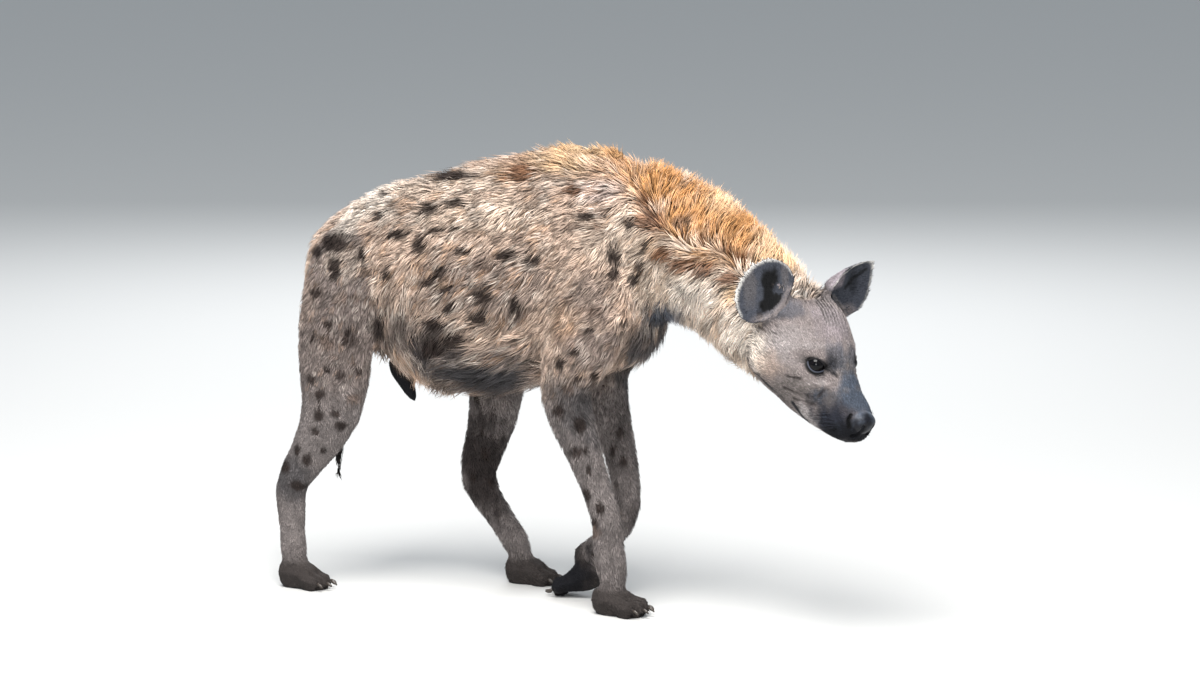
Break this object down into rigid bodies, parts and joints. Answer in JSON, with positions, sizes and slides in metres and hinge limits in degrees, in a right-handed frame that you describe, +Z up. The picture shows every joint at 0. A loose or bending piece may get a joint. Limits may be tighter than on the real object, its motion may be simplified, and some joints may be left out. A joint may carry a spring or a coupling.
{
  "type": "spotted hyena figure",
  "caption": "Life-size still model of a walking spotted hyena, head lowered and turned to its right, for display.",
  "frame": {"origin": "on the floor, at the middle of the whole model's box", "axes": "+X from the rump towards the shoulders, +Y to the animal's left, +Z up"},
  "size_m": [1.2134, 0.3578, 0.8416],
  "materials": {
    "coat": "coarse short hair",
    "mane": "long soft hair",
    "face": "very short hair",
    "ear": "thin skin with short hair",
    "leg": "short hair",
    "foot": "short wet hair",
    "tail": "long coarse hair",
    "sheath": "soft",
    "nose": "moist",
    "eye": "wet gloss",
    "claw": "worn horn"
  },
  "bodies": {
    "root": {"trunk": "coat", "neck": "mane", "head": "face", "lower_jaw": "face", "nose_pad": "nose", "eye_right": "eye", "eye_left": "eye", "ear_right": "ear", "ear_left": "ear", "tail": "tail", "sheath": "sheath", "upper_arm_fore_right": "coat", "forearm_fore_right": "leg", "paw_fore_right": "foot", "claw_fore_right_inner": "claw", "claw_fore_right_second": "claw", "claw_fore_right_third": "claw", "claw_fore_right_outer": "claw", "thigh_hind_right": "coat", "shank_hind_right": "leg", "paw_hind_right": "foot", "claw_hind_right_inner": "claw", "claw_hind_right_second": "claw", "claw_hind_right_third": "claw", "claw_hind_right_outer": "claw", "thigh_hind_left": "coat", "shank_hind_left": "leg", "paw_hind_left": "foot", "claw_hind_left_inner": "claw", "claw_hind_left_second": "claw", "claw_hind_left_third": "claw", "claw_hind_left_outer": "claw", "upper_arm_fore_left": "coat", "forearm_fore_left": "leg", "paw_fore_left": "foot", "claw_fore_left_inner": "claw", "claw_fore_left_second": "claw", "claw_fore_left_third": "claw", "claw_fore_left_outer": "claw"}
  },
  "joints": []
}
